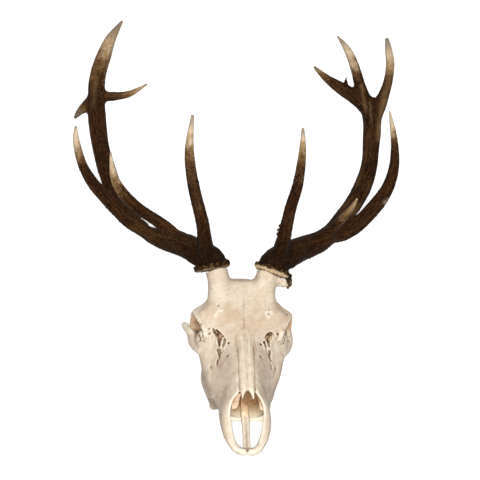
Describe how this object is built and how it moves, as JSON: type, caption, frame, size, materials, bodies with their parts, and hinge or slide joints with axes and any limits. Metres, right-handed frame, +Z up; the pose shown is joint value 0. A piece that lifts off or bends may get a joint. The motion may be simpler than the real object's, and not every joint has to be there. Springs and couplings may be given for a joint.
{
  "type": "red deer skull with antlers",
  "caption": "Upper skull of a red deer stag with both branched antlers, without the lower jaw, lying on its back as it rests.",
  "frame": {"origin": "centre of the bounding box's floor face, where the neck joint and the backs of both beams rest", "axes": "+X to the animal's left, +Y from the snout towards the antler tips, +Z up from the floor; the palate is tipped back 56 degrees"},
  "size_m": [0.594, 0.7364, 0.3251],
  "materials": {
    "bone": "matt, dry, bleached bone with warmer patches",
    "antler": "dark furrowed antler, paler and smoother towards the tine tips"
  },
  "bodies": {
    "root": {"beam_lower_left": "antler", "beam_lower_right": "antler", "beam_upper_left": "antler", "beam_upper_right": "antler", "bez_tine_left": "antler", "bez_tine_right": "antler", "braincase": "bone", "brow_tine_left": "antler", "brow_tine_right": "antler", "burr_left": "antler", "burr_right": "antler", "crown_back_right": "antler", "crown_inner_left": "antler", "crown_inner_right": "antler", "crown_middle_left": "antler", "crown_outer_left": "antler", "frontal_left": "bone", "frontal_right": "bone", "lacrimal_left": "bone", "lacrimal_right": "bone", "maxilla_left": "bone", "maxilla_right": "bone", "nasal_left": "bone", "nasal_right": "bone", "occipital": "bone", "pedicle_left": "bone", "pedicle_right": "bone", "premaxilla_left": "bone", "premaxilla_right": "bone", "trez_tine_left": "antler", "trez_tine_right": "antler", "zygomatic_left": "bone", "zygomatic_right": "bone"}
  },
  "joints": []
}
